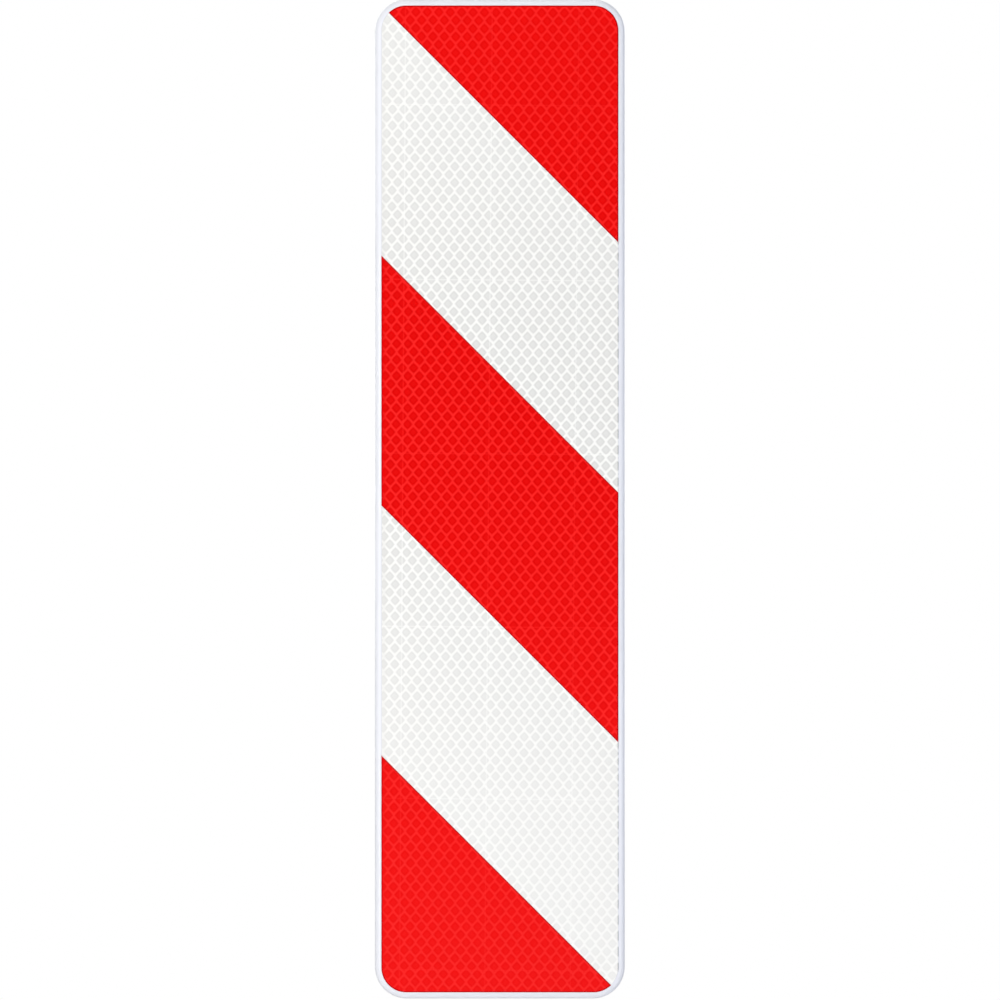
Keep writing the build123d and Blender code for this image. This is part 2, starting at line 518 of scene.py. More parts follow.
@dataclass(frozen=True)
class Lattice:
    """The net of welds that joins the sheeting's layers round each cell, in millimetres on the face.

    Cell centres lie on a centred net, a row every half pitch. The sheet was laid with a slight turn, and the
    net opens out a little towards the top. The mould was pieced together, and its seams run along both axes.
    """

    pitch: tuple[float, float] = (11.34, 16.03)
    turn: float = -0.45
    opening_per_m: float = 0.0158
    crossing: tuple[float, float] = (-2.02, 1.78)
    bow: float = 1.18
    squash: float = 0.92
    cell_reach: tuple[float, float] = (3.45, 5.75)
    heart_reach: tuple[float, float] = (2.0, 3.4)
    seam_pitch: tuple[float, float] = (86.0, 173.3)
    seam_start: tuple[float, float] = (-11.3, 44.9)
    seam_reach: float = 1.2

    def axes(self) -> tuple[Vector, Vector]:
        """The net's own two axes on the face."""
        cos, sin = math.cos(math.radians(self.turn)), math.sin(math.radians(self.turn))
        return Vector((cos, 0, sin)), Vector((-sin, 0, cos))

    def laid(self, tree: Tree, place: Socket) -> Socket:
        """A place from the middle of the face, drawn in by its height times the opening."""
        height = add_node(tree, "ShaderNodeSeparateXYZ", {0: place}, "Z")
        draw = add_node(tree, "ShaderNodeMath", {0: height, 1: -self.opening_per_m, 2: 1.0},
                        operation="MULTIPLY_ADD")
        return add_node(tree, "ShaderNodeVectorMath", {0: place, "Scale": draw}, operation="SCALE")

    def seam(self, tree: Tree, laid: Socket) -> Socket:
        """How near a laid place is to a seam of the mould, from 1 on the seam to 0 at its reach.

        Along each axis the distance from the nearest seam is the place less the first seam's, folded back and
        forth over half a pitch.

        Args:
            tree: the material's nodes.
            laid: the place, drawn in.

        Returns:
            The nearness.
        """
        gaps = []
        for axis, pitch, start in zip(self.axes(), self.seam_pitch, self.seam_start):
            run = add_node(tree, "ShaderNodeVectorMath", {0: laid, 1: axis}, "Value", operation="DOT_PRODUCT")
            past = add_node(tree, "ShaderNodeMath", {0: run, 1: start * MM}, operation="SUBTRACT")
            gaps.append(add_node(tree, "ShaderNodeMath", {0: past, 1: pitch / 2 * MM}, operation="PINGPONG"))
        gap = add_node(tree, "ShaderNodeMath", {0: gaps[0], 1: gaps[1]}, operation="MINIMUM")
        return add_node(tree, "ShaderNodeMapRange", {
            "Value": gap, "From Min": self.seam_reach * MM, "From Max": 0.0}, interpolation_type="SMOOTHSTEP")

    def away(self, tree: Tree, laid: Socket) -> Socket:
        """Distance in millimetres from the middle of the cell that a laid place is in.

        The place is counted along the two slopes across the net's lines, the sum and the difference of its
        axes over their pitches. With f and g the parts past whole counts, dx = (f + g - 1) wide / 2 and
        dz = (f - g) tall / 2 from the cell's middle, and the distance is (|dx|^b + |s dz|^b)^(1 / b), a
        diamond with bowed sides.

        Args:
            tree: the material's nodes.
            laid: the place, drawn in.

        Returns:
            The distance.
        """
        start = (self.crossing[0] * MM, 0.0, self.crossing[1] * MM)
        moved = add_node(tree, "ShaderNodeVectorMath", {0: laid, 1: start}, operation="SUBTRACT")
        wide, tall = (axis / (pitch * MM) for axis, pitch in zip(self.axes(), self.pitch))
        parts = []
        for slope in (wide + tall, wide - tall):
            count = add_node(tree, "ShaderNodeVectorMath", {0: moved, 1: slope}, "Value",
                             operation="DOT_PRODUCT")
            parts.append(add_node(tree, "ShaderNodeMath", {0: count}, operation="FRACT"))
        both = add_node(tree, "ShaderNodeMath", {0: parts[0], 1: parts[1]}, operation="ADD")
        across = add_node(tree, "ShaderNodeMath", {0: both, 1: 1.0}, operation="SUBTRACT")
        along = add_node(tree, "ShaderNodeMath", {0: parts[0], 1: parts[1]}, operation="SUBTRACT")
        powers = []
        for part, half in ((across, self.pitch[0] / 2), (along, self.squash * self.pitch[1] / 2)):
            size = add_node(tree, "ShaderNodeMath", {0: part}, operation="ABSOLUTE")
            length = add_node(tree, "ShaderNodeMath", {0: size, 1: half}, operation="MULTIPLY")
            powers.append(add_node(tree, "ShaderNodeMath", {0: length, 1: self.bow}, operation="POWER"))
        total = add_node(tree, "ShaderNodeMath", {0: powers[0], 1: powers[1]}, operation="ADD")
        return add_node(tree, "ShaderNodeMath", {0: total, 1: 1 / self.bow}, operation="POWER")


@dataclass(frozen=True, kw_only=True)
class PrismSheeting(Finish):
    """Prismatic reflective sheeting: a smooth acrylic face over moulded prisms, welded in a diamond net.

    The eye sees slightly darker diamonds, each with a paler heart, between soft bright lines, under gloss.
    The prisms are painted darkest at one height and paler away from it, painted shade of how the light
    falls on them, and faint pale seams cross them. A cut edge shows as a darker line, the welds beside the
    left-hand edge are duller, and along the right-hand edge a painted shadow of the sheet's edge lies in
    the cells as dark dashes between the welds.
    """

    name: str = "white_prismatic_sheeting"
    cell: str = "#E2E1DC"
    cell_far: str = "#F2F1EC"
    line: str = "#FEFDF8"
    rim: str = "#E0E1E1"
    rim_mm: tuple[float, float] = (0.2, 0.6)
    # Painted shadow: along the right-hand edge the cells are darkened to dashes, as the sheet's own edge
    # shades them.
    open_cell: str = "#3E4146"
    open_mm: tuple[float, float] = (0.3, 0.5)
    dull: float = 0.4
    dull_mm: tuple[float, float] = (2.5, 6.0)
    heart: float = 0.2
    seam: float = 0.45
    # Painted shade: the cells are darkest at this height above the face's middle, and paler out to this
    # reach.
    dark_height: float = 0.11
    dark_reach: float = 0.6
    gloss: tuple[float, float] = (0.16, 0.26)
    bump: float = 0.15
    bump_mm: float = 0.02
    ior: float = 1.49
    centre: tuple[float, float]
    half: tuple[float, float]
    corner: float
    stripe: float
    trimmed: bool = False
    net: Lattice = Lattice()

    def channels(self, tree: Tree, place: Socket) -> dict[str, Any]:
        """Cells by their distance from the cell's middle, lines beyond it, and a line along the cut edge.

        Each share rises smoothly between two measures: far from the height of the painted shade, in a
        cell's heart, on a weld, clear of the dull edge, at a cut edge and near the right-hand edge, where
        the painted shadow lies. The colours are laid over one another.

        Args:
            tree: the material's nodes.
            place: where a point lies on the object, in metres.

        Returns:
            What goes into the shader's sockets.
        """
        middle = (self.centre[0], 0.0, self.centre[1])
        place = add_node(tree, "ShaderNodeVectorMath", {0: place, 1: middle}, operation="SUBTRACT")
        across, height = (add_node(tree, "ShaderNodeSeparateXYZ", {0: place}, axis) for axis in "XZ")
        above = add_node(tree, "ShaderNodeMath", {0: height, 1: self.dark_height}, operation="SUBTRACT")
        off = add_node(tree, "ShaderNodeMath", {0: above}, operation="ABSOLUTE")
        laid = self.net.laid(tree, place)
        away = self.net.away(tree, laid)
        right = self.half[0]
        # far: share of the paler cells away from the painted shade's height; near: share of the painted
        # shadow by the right-hand edge.
        far, heart, weld, clear, edge, near = (
            add_node(tree, "ShaderNodeMapRange", {"Value": value, "From Min": start, "From Max": stop,
                     "To Min": least, "To Max": most}, interpolation_type="SMOOTHSTEP")
            for value, start, stop, least, most in (
                (off, 0.0, self.dark_reach, 0.0, 1.0),
                (away, *self.net.heart_reach[::-1], 0.0, self.heart),
                (away, *self.net.cell_reach, 0.0, 1.0),
                (across, self.dull_mm[0] * MM - right, self.dull_mm[1] * MM - right, 1 - self.dull, 1.0),
                (self.from_edge(tree, place), self.rim_mm[1] * MM, self.rim_mm[0] * MM, 0.0, 1.0),
                (across, right - self.open_mm[1] * MM, right - self.open_mm[0] * MM, 0.0, 1.0)))
        pale = add_node(tree, "ShaderNodeMath", {0: heart, 1: weld}, operation="ADD")
        pale = add_node(tree, "ShaderNodeMath", {0: self.net.seam(tree, laid), 1: self.seam, 2: pale},
                        operation="MULTIPLY_ADD")
        pale = add_node(tree, "ShaderNodeMath", {0: pale, 1: clear}, operation="MULTIPLY")
        # Painted shadow of the sheet's right-hand edge, in the cells only, between the welds.
        dash = add_node(tree, "ShaderNodeMath", {0: near, 1: weld}, operation="SUBTRACT", use_clamp=True)
        colour = linear(self.cell)
        layers = ((far, self.cell_far), (pale, self.line), (edge, self.rim), (dash, self.open_cell))
        for share, over in layers:
            colour = add_node(tree, "ShaderNodeMix", {0: share, MIX_FROM: colour, MIX_TO: linear(over)},
                              MIX_OUT, data_type="RGBA")
        bump = add_node(tree, "ShaderNodeBump", {
            "Height": weld, "Strength": self.bump, "Distance": self.bump_mm * MM}, invert=True)
        rough = add_node(tree, "ShaderNodeMapRange", {
            "Value": weld, "To Min": self.gloss[0], "To Max": self.gloss[1]})
        return {"Base Color": colour, "Roughness": rough, "Normal": bump, "IOR": self.ior}

    def from_edge(self, tree: Tree, place: Socket) -> Socket:
        """Distance in metres from a place on the face to the nearest cut edge.

        For the outline, q = |place| - (half size - corner) gives corner - |max(q, 0)| - min(max(q), 0). A
        trimmed film also ends where x + z is half a stripe from the nearest whole pair of stripes.

        Args:
            tree: the material's nodes.
            place: the place from the middle of the face.

        Returns:
            The distance, growing inwards.
        """
        flat = add_node(tree, "ShaderNodeVectorMath", {0: place, 1: (1.0, 0.0, 1.0)}, operation="MULTIPLY")
        size = add_node(tree, "ShaderNodeVectorMath", {0: flat}, operation="ABSOLUTE")
        reach_in = (self.half[0] - self.corner, 0.0, self.half[1] - self.corner)
        q = add_node(tree, "ShaderNodeVectorMath", {0: size, 1: reach_in}, operation="SUBTRACT")
        out = add_node(tree, "ShaderNodeVectorMath", {0: q, 1: (0.0, 0.0, 0.0)}, operation="MAXIMUM")
        length = add_node(tree, "ShaderNodeVectorMath", {0: out}, "Value", operation="LENGTH")
        q_x, q_z = (add_node(tree, "ShaderNodeSeparateXYZ", {0: q}, axis) for axis in "XZ")
        most = add_node(tree, "ShaderNodeMath", {0: q_x, 1: q_z}, operation="MAXIMUM")
        inner = add_node(tree, "ShaderNodeMath", {0: most, 1: 0.0}, operation="MINIMUM")
        beyond = add_node(tree, "ShaderNodeMath", {0: length, 1: inner}, operation="ADD")
        inside = add_node(tree, "ShaderNodeMath", {0: self.corner, 1: beyond}, operation="SUBTRACT")
        if not self.trimmed:
            return inside
        slant = add_node(tree, "ShaderNodeVectorMath", {0: place, 1: (1.0, 0.0, 1.0)}, "Value",
                         operation="DOT_PRODUCT")
        pair = add_node(tree, "ShaderNodeMath", {0: slant, 1: self.stripe}, operation="PINGPONG")
        left = add_node(tree, "ShaderNodeMath", {0: self.stripe / 2, 1: pair}, operation="SUBTRACT")
        square = add_node(tree, "ShaderNodeMath", {0: left, 1: math.sqrt(0.5)}, operation="MULTIPLY")
        return add_node(tree, "ShaderNodeMath", {0: inside, 1: square}, operation="MINIMUM")


def place_piece(mesh: bpy.types.Mesh, finish: Finish, body: str, slot: str | None, *nodes: str) -> None:
    """Show a mesh as a piece of the beacon.

    Its flats keep their own shading right up to their rounded edges, by weighting normals by area.

    Args:
        mesh: the mesh, already in place, whose name the piece takes.
        finish: what it is made of.
        body: the body that it moves with.
        slot: the name of a material slot, where it has one; not used.
        nodes: the nodes that it stands for.
    """
    piece = hang(mesh.name, mesh)
    mesh.materials.append(finish.material())
    piece.modifiers.new("flats_stay_flat", "WEIGHTED_NORMAL").keep_sharp = True
    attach(piece, body)
    if nodes:
        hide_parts(*nodes)
    log.info("%s: %d faces of %s on %s", piece.name, len(mesh.polygons), finish.name, body)


@dataclass
class Panel:
    """The formed tray with its sheeting and red stripes."""

    corner: float = 32 * MM
    metal: float = 2 * MM
    bend_inside: float = 4 * MM
    edge_round: float = 0.6 * MM
    flat_from: float = 20 * MM
    sheet_corner: float = 24.75 * MM
    sheet_edge: float = 0.12 * MM
    stripe: float = 250 * MM
    corner_steps: int = 20
    bend_steps: int = 14
    inner_steps: int = 10
    lip_steps: int = 5
    sheet_corner_steps: int = 24
    sheet_edge_steps: int = 3
    coat: PowderCoat = PowderCoat()

    def tray(self) -> bpy.types.Mesh:
        """The tray as one profile carried round the panel's outline.

        The profile runs from the flat of the face round the bend, back along the outside of the flange, over
        its rounded edge, and forward inside it to the flat behind. Both flats are closed by one face each.

        Returns:
            The tray's mesh.
        """
        low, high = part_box("panel_tray")
        bend = self.bend_inside + self.metal
        centre = np.array([bend, low.y + bend])
        outside = centre - bend * spokes(arc(90, 0, self.bend_steps))
        inside = centre - self.bend_inside * spokes(arc(0, 90, self.inner_steps))
        lip = arc(0, 90, self.lip_steps)
        outer_lip = (0, high.y) + self.edge_round * np.stack([1 - np.cos(lip), np.sin(lip) - 1], 1)
        inner_lip = outer_lip[::-1] * (-1, 1) + (self.metal, 0)
        flats = [(self.flat_from, low.y), (self.flat_from, low.y + self.metal)]
        profile = np.vstack([flats[0], outside, outer_lip, inner_lip, inside, flats[1]])
        return skin("formed_tray", framed(low, high, self.corner, profile, self.corner_steps), Ends.CAPPED)

    def sheeting(self) -> bpy.types.Mesh:
        """The sheeting: a thin plate whose front edge is rounded by the knife, carried round its outline."""
        low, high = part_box("reflective_sheet")
        front = (0, low.y) + self.sheet_edge * (1 - spokes(arc(90, 0, self.sheet_edge_steps)))
        profile = np.vstack([(self.flat_from, low.y), front, (0, high.y), (self.flat_from, high.y)])
        points = framed(low, high, self.sheet_corner, profile, self.sheet_corner_steps)
        return skin("face_sheeting", points, Ends.CAPPED)

    def finishes(self) -> tuple[PrismSheeting, PrismSheeting]:
        """The sheeting's finish in white, and under the red film, with the net running through both."""
        low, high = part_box("reflective_sheet")
        laid = {"centre": ((low.x + high.x) / 2, (low.z + high.z) / 2),
                "half": ((high.x - low.x) / 2, (high.z - low.z) / 2),
                "corner": self.sheet_corner, "stripe": self.stripe}
        # The red film's cell colours carry the same painted shade by height, and its dark right-edge dashes
        # the same painted shadow, as the white.
        red = PrismSheeting(
            name="red_film_on_prismatic_sheeting", cell="#E60100", cell_far="#F50D0B", line="#FB2220",
            rim="#BC040B", rim_mm=(0.75, 1.5), open_cell="#A2040A", gloss=(0.16, 0.19), trimmed=True, **laid)
        return PrismSheeting(**laid), red

    def build(self) -> None:
        """Build and dress the tray and sheeting, and dress the stripes' own nodes."""
        place_piece(self.tray(), self.coat, "panel", "white_coat", "panel_tray")
        white, red = self.finishes()
        place_piece(self.sheeting(), white, "panel", "white_sheeting", "reflective_sheet")
        for place in ("top", "middle", "bottom"):
            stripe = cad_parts[f"red_stripe_{place}"]
            stripe.material_slots[0].material = red.material()
            log.info("%s: the node's own shape in %s", stripe.name, red.name)


@dataclass
class Fitting:
    """Something behind the panel that both levels have."""

    level: Level

    def called(self, kind: str) -> str:
        """Name of this level's node, piece or body of a kind."""
        return f"{self.level.value}_{kind}"


@dataclass
class Rail(Fitting):
    """A C-rail across the back of the plate, and the tape that bonds it."""

    wall: float = 2.25 * MM
    slot: float = 12 * MM
    outer_round: float = 1.2 * MM
    inner_round: float = 0.6 * MM
    lip_round: float = 0.56 * MM
    round_steps: int = 6
    cut_edge: float = 0.2 * MM
    tape_corner: float = 0.8 * MM
    tape_bulge: float = 0.2 * MM
    tape_steps: tuple[int, int] = (5, 6)
    metal: MillAluminium = MillAluminium()
    foam: FoamTape = FoamTape()

    def section(self) -> FloatArray:
        """The C-section in Y and Z: a box whose rear wall is open between two lips, with round corners."""
        low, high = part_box(self.called("rail"))
        middle, half = (low.z + high.z) / 2, (high.z - low.z) / 2
        mouth, cavity = self.slot / 2, half - self.wall
        rear, lip, floor = high.y, high.y - self.wall, low.y + self.wall
        upper = np.array([
            (low.y, half), (rear, half), (rear, mouth), (lip, mouth), (lip, cavity), (floor, cavity)])
        radii = [self.outer_round, self.outer_round, self.lip_round, self.lip_round,
                 self.inner_round, self.inner_round]
        corners = np.vstack([upper * (1, -1), upper[::-1]])
        return rounded(corners, np.array(radii + radii[::-1]), self.round_steps) + (0, middle)

    def rail(self) -> bpy.types.Mesh:
        """The section carried along X, drawn in a little at both sawn ends, where the burr was taken off."""
        low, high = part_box(self.called("rail"))
        full = self.section()
        eased = drawn_in(full, self.cut_edge)
        stations = ((low.x, eased), (low.x + self.cut_edge, full),
                    (high.x - self.cut_edge, full), (high.x, eased))
        rows = [np.column_stack([np.full(len(loop), x), loop]) for x, loop in stations]
        return skin(self.called("c_rail"), np.stack(rows), Ends.CAPPED)

    def tape(self) -> bpy.types.Mesh:
        """The tape: its edge bulges as a half round of little depth, carried round its outline."""
        low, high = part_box(self.called("rail_tape"))
        corner_steps, bulge_steps = self.tape_steps
        turn = arc(0, 180, bulge_steps)
        inset = self.tape_bulge * (1 - np.sin(turn))
        depth = low.y + (high.y - low.y) * (1 - np.cos(turn)) / 2
        points = framed(low, high, self.tape_corner, np.stack([inset, depth], 1), corner_steps)
        return skin(self.called("bonding_tape"), points, Ends.CAPPED)

    def build(self) -> None:
        """Build and dress the rail and its tape."""
        place_piece(self.rail(), self.metal, "panel", "mill_aluminium", self.called("rail"))
        place_piece(self.tape(), self.foam, "panel", "foam_tape", self.called("rail_tape"))


@dataclass
class Strap(Fitting):
    """A bent strap that holds the post, with two ears and a gusset pressed into each bend."""

    metal: float = 3 * MM
    bend_inside: float = 3 * MM
    edge_round: float = 0.5 * MM
    ear_corner: float = 6 * MM
    hole: float = 9 * MM
    gusset_depth: float = 2 * MM
    gusset_flat: tuple[float, float] = (2.3 * MM, 4.1 * MM)
    end_rows: tuple[float, float] = (0.35 * MM, 0.12 * MM)
    crown_steps: int = 30
    bend_steps: int = 24
    ear_steps: int = 16
    flat_rows: int = 9
    chord_rows: int = 4
    width_steps: int = 56
    edge_steps: int = 4
    hole_steps: int = 48
    steel: GalvanisedSteel = GalvanisedSteel()

    def half_path(self) -> tuple[FloatArray, FloatArray, FloatArray, FloatArray]:
        """The right half of the strap's middle line in X and Y, from the saddle's crown to the ear's end.

        It is a quarter circle round the post, the straight leg, a quarter circle at the bend and the ear. A
        gusset moves the bend on to the chord that cuts its corner off, shared out by length along the line.

        Returns:
            Places, sideways directions, the gusset's shift, and each place's distance from the ear's end.
        """
        low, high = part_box(self.called("strap"))
        thick = self.metal / 2
        saddle, bend = high.y - thick, self.bend_inside + thick
        ear_y, knee = low.y + thick, (saddle + bend, low.y + thick + bend)
        past = bend * (math.sqrt(2) - 1) * math.sqrt(2) + self.gusset_depth * math.sqrt(2) - bend
        crown, turn = spokes(arc(90, 0, self.crown_steps)), spokes(arc(180, 270, self.bend_steps))
        end = np.concatenate([self.ear_corner * (1 - np.cos(arc(90, 0, self.ear_steps))), self.end_rows])
        ear_x = np.concatenate([
            np.linspace(knee[0], knee[0] + past, self.chord_rows)[1:],
            np.linspace(knee[0] + past, high.x - self.ear_corner, self.flat_rows)[1:-1],
            np.sort(high.x - end)])
        leg_y = np.concatenate([
            np.linspace(0, knee[1] + past, self.flat_rows)[1:],
            np.linspace(knee[1] + past, knee[1], self.chord_rows)[1:-1]])
        leg = np.stack([np.full_like(leg_y, saddle), leg_y], 1)
        ear = np.stack([ear_x, np.full_like(ear_x, ear_y)], 1)
        place = np.vstack([saddle * crown, leg, knee + bend * turn, ear])
        side = np.vstack([crown, np.tile((1.0, 0.0), (len(leg), 1)),
                          -turn, np.tile((0.0, 1.0), (len(ear), 1))])
        run = np.concatenate([[0], np.cumsum(np.linalg.norm(np.diff(place, axis=0), axis=1))])
        chord = np.array([(saddle, knee[1] + past), (knee[0] + past, ear_y)])
        start, stop = (run[np.linalg.norm(place - point, axis=1).argmin()] for point in chord)
        share = ((run - start) / (stop - start))[:, None]
        cut = chord[0] + (chord[1] - chord[0]) * share
        shift = np.where((share >= 0) & (share <= 1), cut - place, 0)
        return place, side, shift, run[-1] - run

    def mesh(self) -> bpy.types.Mesh:
        """A flat section with round edges carried along the middle line, and its mirror image.

        Across the section n = +-(half thickness - r) + r cos and z = +-(half width - r) + r sin. Both halves
        shrink over the ear's last stretch to round its corners and its end: by R - sqrt(R^2 - (R - d)^2) at a
        distance d from the end. The gusset's shift fades from full to none between two distances from middle.

        Returns:
            The strap's mesh, before its holes are punched.
        """
        low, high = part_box(self.called("strap"))
        middle, width = (low.z + high.z) / 2, (high.z - low.z) / 2
        place, side, shift, left = self.half_path()
        place, side, shift = (np.vstack([(a * (-1, 1))[:0:-1], a]) for a in (place, side, shift))
        left = np.concatenate([left[:0:-1], left])
        cut, end = (r - np.sqrt(r**2 - np.clip(r - left, 0, r)**2)
                    for r in (self.ear_corner, self.edge_round))
        half_n, half_z = (self.metal / 2 - end)[:, None], (width - cut - end)[:, None]
        flat = np.linspace(-1, 1, self.width_steps + 1)
        turn = np.concatenate([arc(start, start + 90, self.edge_steps)[1:-1] for start in (0, 90)])
        edge = spokes(turn).T
        half = np.hstack([[np.ones_like(flat), flat, np.ones_like(flat), np.zeros_like(flat)],
                          np.vstack([np.sign(edge), edge])])
        sign_n, sign_z, cos, sin = np.hstack([half, -half])
        n = sign_n * (half_n - self.edge_round) + self.edge_round * cos
        z = sign_z * (half_z - self.edge_round) + self.edge_round * sin
        press = 1 - ease(np.abs(z), *self.gusset_flat)
        xy = place[:, None] + side[:, None] * n[..., None] + shift[:, None] * press[..., None]
        points = np.concatenate([xy, middle + z[..., None]], -1)
        return skin(self.called("post_strap"), points, Ends.CAPPED)

    def build(self) -> None:
        """Build the strap, punch a hole through each ear, and dress it."""
        blank = self.mesh()
        low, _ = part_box(self.called("strap"))
        strap = hang(blank.name, blank)
        depth = np.array([[low.y - self.metal], [low.y + 2 * self.metal]])
        angles = around(self.hole_steps) + math.pi / self.hole_steps
        for side in Side:
            hole = turned(np.full((2, 1), self.hole / 2), depth, angles, Fixing(self.level, side).axis())
            cut = strap.modifiers.new(side.value, "BOOLEAN")
            cut.operation, cut.solver = "DIFFERENCE", "EXACT"
            cut.object = hang("punch", skin("punch", hole, Ends.CAPPED))
        bpy.context.view_layer.update()
        punched = bpy.data.meshes.new_from_object(strap.evaluated_get(bpy.context.evaluated_depsgraph_get()))
        for cut in strap.modifiers:
            bpy.data.objects.remove(cut.object)
        bpy.data.objects.remove(strap)
        bpy.data.meshes.remove(blank)
        punched.name = self.called("post_strap")
        punched.set_sharp_from_angle(angle=math.radians(CREASE_DEG))
        place_piece(punched, self.steel, self.called("clip"), "zinc_steel", self.called("strap"))


@dataclass
class Fixing(Fitting):
    """A hammer-head bolt with its washer and lock nut."""

    side: Side
    shank: float = 4 * MM
    pitch: float = 1.25 * MM
    thread_depth: float = 0.72 * MM
    thread_drive: float = 1.5
    thread_rows: int = 14
    neck: float = 2.2 * MM
    head_thick: float = 4.5 * MM
    head_corner: float = 4.7 * MM
    head_corner_steps: int = 8
    head_edge: float = 0.3 * MM
    end_chamfer: float = 0.8 * MM
    bolt_crease: float = 40.0
    washer_hole: float = 4.2 * MM
    washer_rounds: tuple[float, ...] = (0.08 * MM, 0.08 * MM, 0.35 * MM, 0.3 * MM)
    hexagon_height: float = 6 * MM
    chamfer_height: float = 0.8 * MM
    chamfer_in: tuple[float, float] = (0.2 * MM, 0.15 * MM)
    chamfer_rows: int = 7
    bore: float = 4.05 * MM
    countersink: float = 0.55 * MM
    collar: float = 6.1 * MM
    collar_foot: tuple[tuple[float, float], ...] = ((0.1 * MM, 0.05 * MM), (0.3 * MM, 0.0))
    collar_roll: float = 75.0
    roll_steps: int = 6
    nut_crease: float = 25.0
    lip: float = 4.8 * MM
    lip_rows: tuple[tuple[float, float], ...] = ((0.0, 0.25 * MM), (0.15 * MM, 0.0), (0.5 * MM, 0.0))
    seat_depth: tuple[float, float] = (0.2 * MM, 0.5 * MM)
    insert_sunk: float = 0.15 * MM
    insert_below: float = 0.4 * MM
    insert_gap: float = 0.02 * MM
    insert_rounds: tuple[float, ...] = (0.1 * MM, 0.1 * MM, 0.2 * MM, 0.25 * MM)
    round_steps: int = 4
    turn_steps: int = 72
    nut_steps: int = 96
    steel: StainlessSteel = StainlessSteel()
    nylon: Nylon = Nylon()

    def node(self, kind: str) -> str:
        """Name of this fixing's node of a kind."""
        return self.called(f"{kind}_{self.side.value}")

    def name(self, kind: str) -> str:
        """Name of this fixing's piece of a kind."""
        return self.called(f"{self.side.value}_{kind}")

    def axis(self) -> tuple[float, float]:
        """X and Z of the bolt's axis."""
        low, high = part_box(self.node("bolt"))
        return (low.x + high.x) / 2, (low.z + high.z) / 2

    def bolt(self) -> bpy.types.Mesh:
        """The bolt as rows of radii from the head's front to the shank's end.

        The head's radius is the distance to its outline, a rectangle with two opposite corners well rounded.
        The shank's is its full radius less the thread's depth times a wave of y / pitch + angle / turn, which
        is cut off at crest and root and dies out at the neck. A cone ends it.

        Returns:
            The bolt's mesh.
        """
        low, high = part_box(self.node("bolt"))
        w, h = (high.x - low.x) / 2, (high.z - low.z) / 2
        edge, seat = self.head_edge, low.y + self.head_thick
        rounds = np.array([edge, self.head_corner] * 2)
        outline = rounded(np.array([(w, h), (-w, h), (-w, -h), (w, -h)]), rounds, self.head_corner_steps)
        corners = np.arctan2(*outline.T[::-1]) % math.tau
        angles = np.unique(np.concatenate([around(self.turn_steps), corners]).round(5))
        head, flat = reach(outline, angles), np.ones_like(angles)
        eased = ((0.0, edge), (edge / 3, edge / 4), (edge, 0.0))
        rows = [(low.y + back, head - inset) for back, inset in eased]
        rows += [(seat - back, head - inset) for back, inset in eased[::-1]]
        rows += [(seat, (self.shank + edge) * flat), (seat + edge / 3, (self.shank + edge / 3) * flat)]
        y = np.linspace(seat + edge, high.y, int((high.y - seat) / self.pitch * self.thread_rows))[:, None]
        wave = np.clip(self.thread_drive * np.sin(math.tau * y / self.pitch + angles), -1, 1) / 2 - 0.5
        cut = self.thread_depth * ease(y, seat + self.neck, seat + self.neck + self.pitch)
        cone = self.shank - np.clip(y - (high.y - self.end_chamfer), 0, None)
        shank = np.minimum(self.shank + cut * wave, cone)
        depth = np.concatenate([[[row[0]] for row in rows], y])
        radius = np.vstack([row[1] for row in rows] + [shank])
        points = turned(radius, depth, angles, self.axis())
        return skin(self.name("hammer_bolt"), points, Ends.CAPPED, self.bolt_crease)

    def ring(self, kind: str, inner: float, outer: float, foot: float, top: float,
             rounds: tuple[float, ...]) -> bpy.types.Mesh:
        """A ring: a rectangular section with rounded corners, turned round the axis.

        Args:
            kind: what the ring is.
            inner: radius of its hole.
            outer: radius of its rim.
            foot: Y of its front.
            top: Y of its back.
            rounds: radii of the corners, round from the hole's front.

        Returns:
            The ring's mesh.
        """
        corners = np.array([(inner, foot), (outer, foot), (outer, top), (inner, top)])
        loop = rounded(corners, np.array(rounds), self.round_steps)
        points = turned(loop[:, :1], loop[:, 1:], around(self.turn_steps), self.axis())
        return skin(self.name(kind), points, Ends.JOINED)

    def washer(self) -> bpy.types.Mesh:
        """The washer: a flat ring, rounded on the side that the punch entered."""
        low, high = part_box(self.node("washer"))
        rim = (high.x - low.x) / 2
        return self.ring("washer", self.washer_hole, rim, low.y, high.y, self.washer_rounds)

